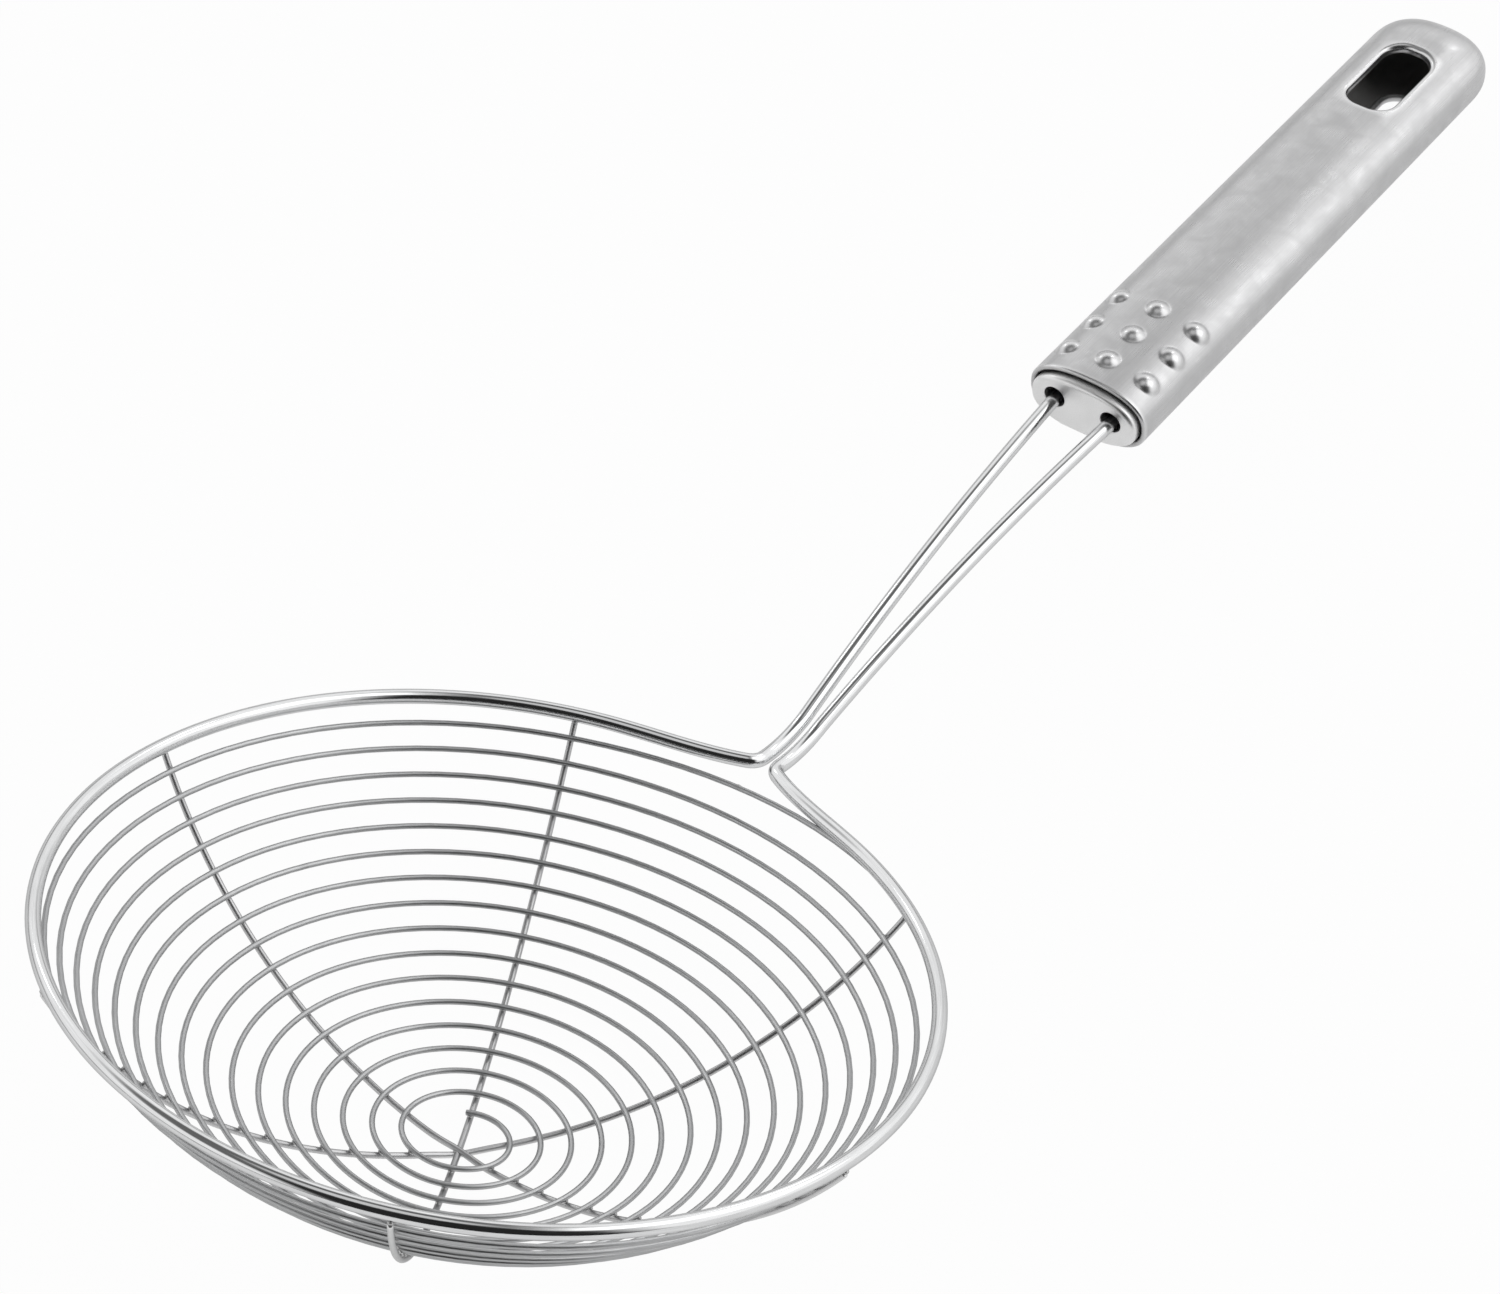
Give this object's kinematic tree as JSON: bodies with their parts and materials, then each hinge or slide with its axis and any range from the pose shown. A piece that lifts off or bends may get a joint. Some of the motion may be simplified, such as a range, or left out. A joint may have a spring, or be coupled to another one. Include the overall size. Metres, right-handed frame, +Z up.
{
  "type": "oil strainer",
  "caption": "Wire strainer with a round bowl of spiral wire on crossed ribs, a wire stem and a hollow oval steel handle with a hang slot, for lifting food out of hot oil.",
  "frame": {"origin": "on the table under the middle of the part's bounding box, with the part lying on its bowl and the tail of its handle", "axes": "+X from the bowl along the handle to its tail, +Z up off the table, +Y across the handle"},
  "size_m": [0.373, 0.1496, 0.0736],
  "materials": {
    "rim_wire": "polished bright",
    "mesh_wire": "bright drawn wire",
    "handle_steel": "satin",
    "plug_steel": "satin"
  },
  "bodies": {
    "root": {"rim_frame": "rim_wire", "spiral_wire": "mesh_wire", "rib_cross": "mesh_wire", "rib_left": "mesh_wire", "rib_right": "mesh_wire", "handle_tube": "handle_steel", "end_plug": "plug_steel"}
  },
  "joints": []
}
